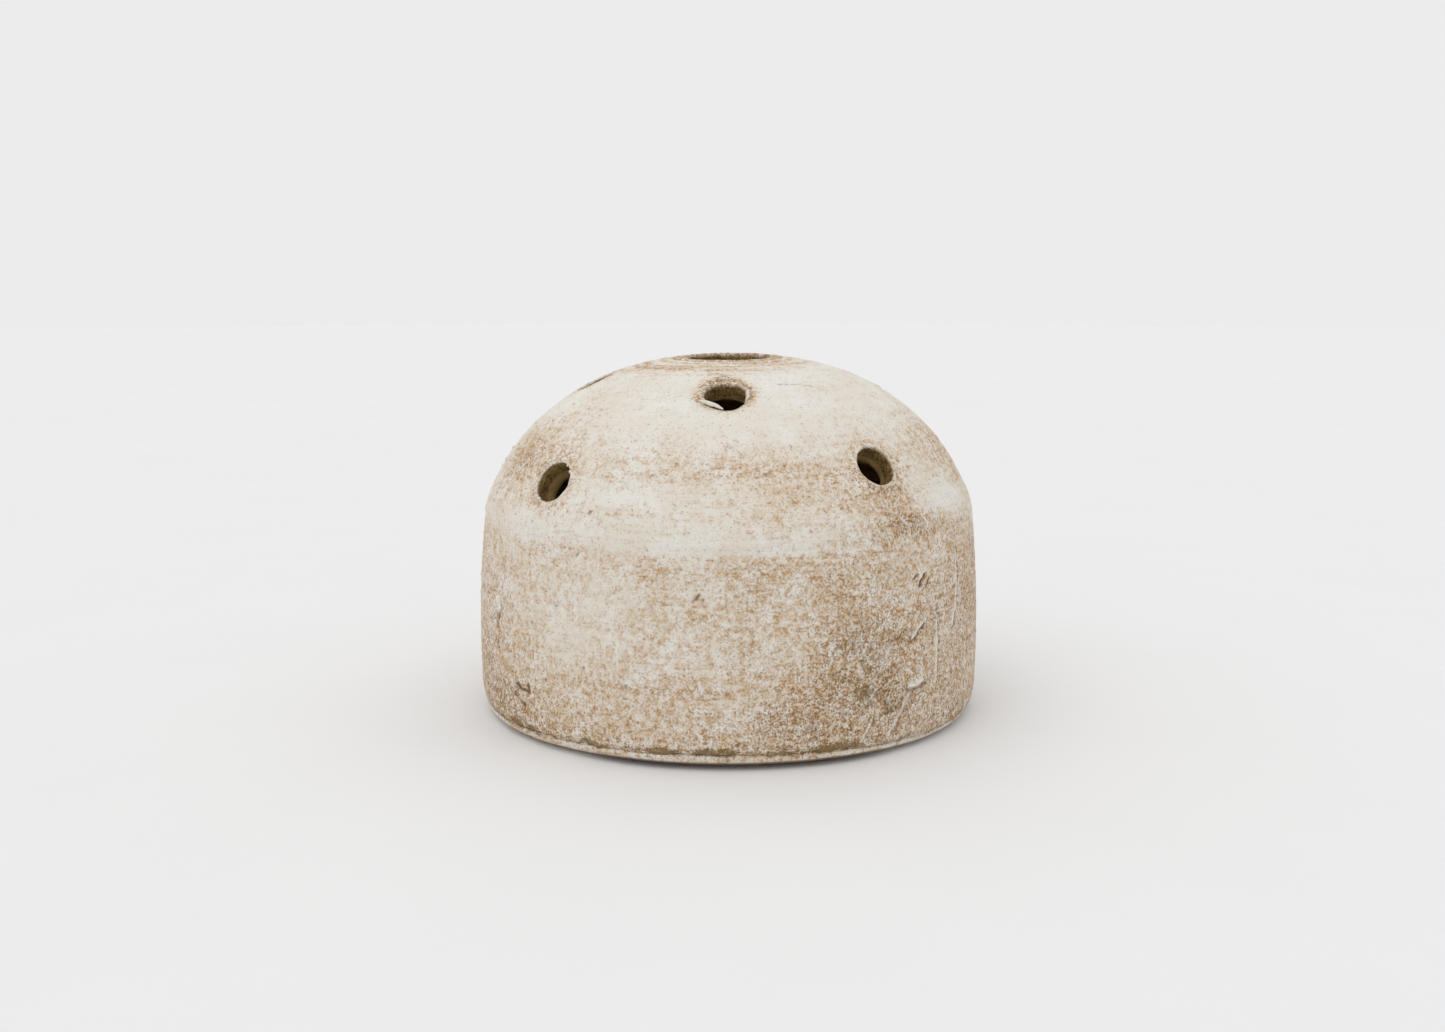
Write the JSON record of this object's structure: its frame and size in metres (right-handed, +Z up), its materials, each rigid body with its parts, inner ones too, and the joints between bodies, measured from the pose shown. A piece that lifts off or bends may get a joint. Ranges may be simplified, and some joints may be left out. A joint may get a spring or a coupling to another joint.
{
  "type": "ceramic flower frog",
  "caption": "Round domed ceramic flower holder: a hollow pot on a flat floor, closed over and pierced with angled stem holes around a wide top opening.",
  "frame": {"origin": "centre of the flat resting face", "axes": "+Z up along the pot's axis of revolution; -Y is the front, the side that one stem hole of the upper ring faces"},
  "size_m": [0.1278, 0.1278, 0.0892],
  "materials": {
    "slip_washed_clay": "matte cream slip over ochre clay, with brown speckle and wash in the hollows",
    "joining_slip": "matte, coarse, stained brown in the grooves",
    "bare_clay": "matte unglazed olive-brown clay"
  },
  "bodies": {
    "root": {"floor_slab": "slip_washed_clay", "corner_coil": "bare_clay", "floor_joint_slip": "joining_slip", "wall_ring": "slip_washed_clay", "shoulder_joint_slip": "joining_slip", "dome": "slip_washed_clay"}
  },
  "joints": []
}
